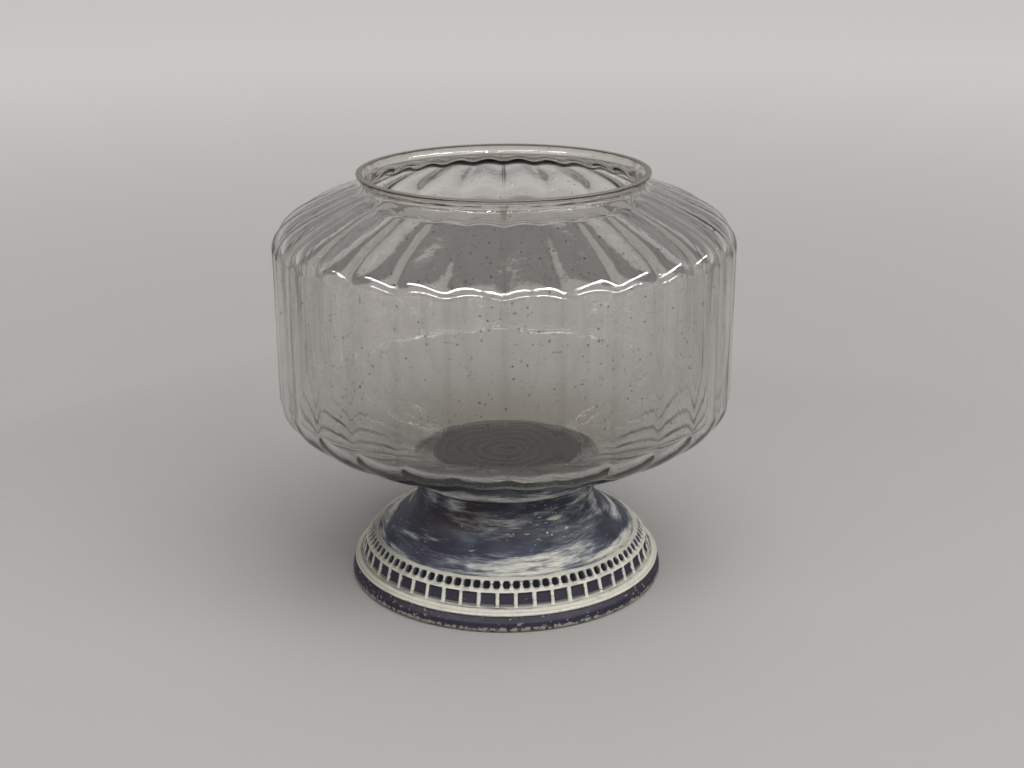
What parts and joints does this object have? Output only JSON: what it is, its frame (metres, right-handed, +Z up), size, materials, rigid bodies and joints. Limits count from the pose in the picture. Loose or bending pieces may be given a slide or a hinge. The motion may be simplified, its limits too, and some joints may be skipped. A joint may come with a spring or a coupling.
{
  "type": "glass pedestal bowl",
  "caption": "Fluted blown-glass bowl with narrow neck and ground rim, bonded to a turned painted wooden pedestal foot with dentil and bead rings.",
  "frame": {"origin": "centre of the foot, on the surface that the bowl stands on", "axes": "+Z up along the axis of the foot and bowl; -Y is the front, where the mould seam is"},
  "size_m": [0.164, 0.164, 0.152],
  "materials": {
    "felt": "dense black felt",
    "painted_wood": "slate-blue distressed paint over white, worn on the edges",
    "adhesive": "aged adhesive, dark olive over the wood beneath",
    "bowl_glass": "clear mould-blown glass with a faint grey-green tint and small seeds"
  },
  "bodies": {
    "root": {"felt_pad": "felt", "pedestal": "painted_wood", "adhesive_bond": "adhesive", "glass_bowl": "bowl_glass"}
  },
  "joints": []
}
